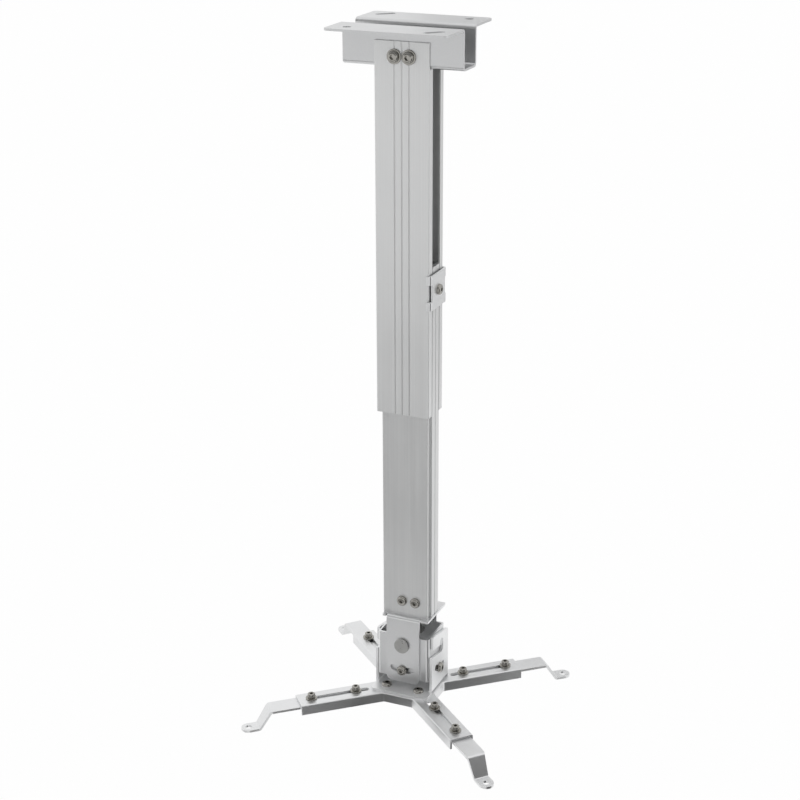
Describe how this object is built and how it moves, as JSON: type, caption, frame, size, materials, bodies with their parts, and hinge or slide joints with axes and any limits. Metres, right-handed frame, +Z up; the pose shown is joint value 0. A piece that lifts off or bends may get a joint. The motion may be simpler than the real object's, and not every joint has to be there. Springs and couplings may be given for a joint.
{
  "type": "projector ceiling mount",
  "caption": "Telescopic projector ceiling mount: hat-shaped bracket, sliding aluminium tubes with a height clamp, a hang-in tilt joint and a cross hub with sliding cranked feet.",
  "frame": {"origin": "centre of the ceiling bracket's top face, which meets the ceiling", "axes": "+Z up, +X along the bracket's channel to the right of the picture, +Y to the back"},
  "size_m": [0.2424, 0.2174, 0.6232],
  "materials": {
    "painted_steel": "silver powder coat, satin",
    "aluminium": "silver anodised, satin",
    "zinc_steel": "bright nickel plate",
    "rubber": "matt"
  },
  "bodies": {
    "ceiling": {"ceiling_bracket": "painted_steel", "outer_tube": "aluminium", "ceiling_bolts": "zinc_steel", "ceiling_washers": "zinc_steel", "ceiling_nuts": "zinc_steel"},
    "column": {"inner_tube": "aluminium", "clamp_plate": "painted_steel", "clamp_pad": "rubber", "clamp_screw": "zinc_steel", "clamp_nut": "zinc_steel", "tube_tongue": "painted_steel", "tilt_yoke": "painted_steel", "yoke_bolts": "zinc_steel", "yoke_nuts": "zinc_steel"},
    "tilt_block": {"tilt_box": "painted_steel", "roll_rivets": "zinc_steel", "roll_lock_screws": "zinc_steel", "roll_lock_nuts": "zinc_steel", "pitch_pins": "zinc_steel", "pitch_lock_screws": "zinc_steel", "pitch_lock_nuts": "zinc_steel"},
    "carrier": {"hook_cradle": "painted_steel", "base_screws": "zinc_steel", "base_nuts": "zinc_steel", "hub": "painted_steel"},
    "front_left_foot": {"foot_front_left": "painted_steel", "foot_screws_front_left": "zinc_steel", "foot_washers_front_left": "zinc_steel", "foot_nuts_front_left": "zinc_steel"},
    "front_right_foot": {"foot_front_right": "painted_steel", "foot_screws_front_right": "zinc_steel", "foot_washers_front_right": "zinc_steel", "foot_nuts_front_right": "zinc_steel"},
    "back_right_foot": {"foot_back_right": "painted_steel", "foot_screws_back_right": "zinc_steel", "foot_washers_back_right": "zinc_steel", "foot_nuts_back_right": "zinc_steel"},
    "back_left_foot": {"foot_back_left": "painted_steel", "foot_screws_back_left": "zinc_steel", "foot_washers_back_left": "zinc_steel", "foot_nuts_back_left": "zinc_steel"}
  },
  "joints": [
    {"name": "height_slide", "type": "slide", "parent": "ceiling", "child": "column", "axis": [0, 0, 1], "range_m": [-0.03, 0.16]},
    {"name": "sideways_tilt", "type": "hinge", "parent": "column", "child": "tilt_block", "pos_m": [0, 0, -0.5557], "axis": [0, 1, 0], "range_deg": [-15, 15]},
    {"name": "forward_tilt", "type": "hinge", "parent": "tilt_block", "child": "carrier", "pos_m": [0, 0.009, -0.5593], "axis": [1, 0, 0], "range_deg": [-10, 15]},
    {"name": "front_left_reach", "type": "slide", "parent": "carrier", "child": "front_left_foot", "axis": [-0.7466, -0.6652, 0], "range_m": [-0.009, 0]},
    {"name": "front_right_reach", "type": "slide", "parent": "carrier", "child": "front_right_foot", "axis": [0.7466, -0.6652, 0], "range_m": [-0.009, 0]},
    {"name": "back_right_reach", "type": "slide", "parent": "carrier", "child": "back_right_foot", "axis": [0.7466, 0.6652, 0], "range_m": [-0.009, 0]},
    {"name": "back_left_reach", "type": "slide", "parent": "carrier", "child": "back_left_foot", "axis": [-0.7466, 0.6652, 0], "range_m": [-0.009, 0]}
  ]
}
